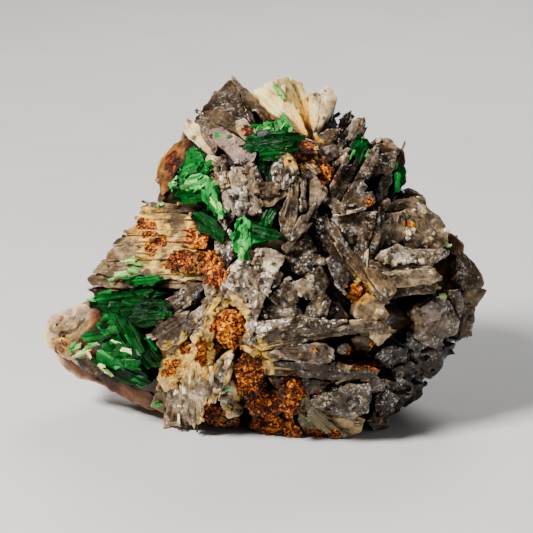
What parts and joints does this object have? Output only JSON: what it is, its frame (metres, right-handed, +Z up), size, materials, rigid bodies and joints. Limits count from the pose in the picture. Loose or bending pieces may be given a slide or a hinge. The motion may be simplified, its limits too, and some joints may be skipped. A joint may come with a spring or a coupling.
{
  "type": "torbernite mineral specimen",
  "caption": "Loose hand piece of bladed, cavernous quartz stained with iron oxide, carrying rosettes of flat green torbernite plates. Rests on a flat base.",
  "frame": {"origin": "middle of the box's underside, on the flat resting face", "axes": "+X to the right and +Z up as the specimen is shown, with the crystal-bearing side towards -Y"},
  "size_m": [0.0446, 0.0304, 0.0337],
  "materials": {
    "quartz": "glassy to sugary grey-brown quartz, cream at the edges, with orange and red-brown iron-oxide stains",
    "torbernite": "vitreous to pearly emerald green plates with paler, finely layered edges"
  },
  "bodies": {
    "root": {"matrix": "quartz", "torbernite_left_upper": "torbernite", "torbernite_left_lower": "torbernite", "torbernite_shoulder": "torbernite", "torbernite_blade": "torbernite", "torbernite_top": "torbernite", "torbernite_centre": "torbernite", "torbernite_rim": "torbernite", "torbernite_right_edge": "torbernite", "torbernite_ledge": "torbernite"}
  },
  "joints": []
}
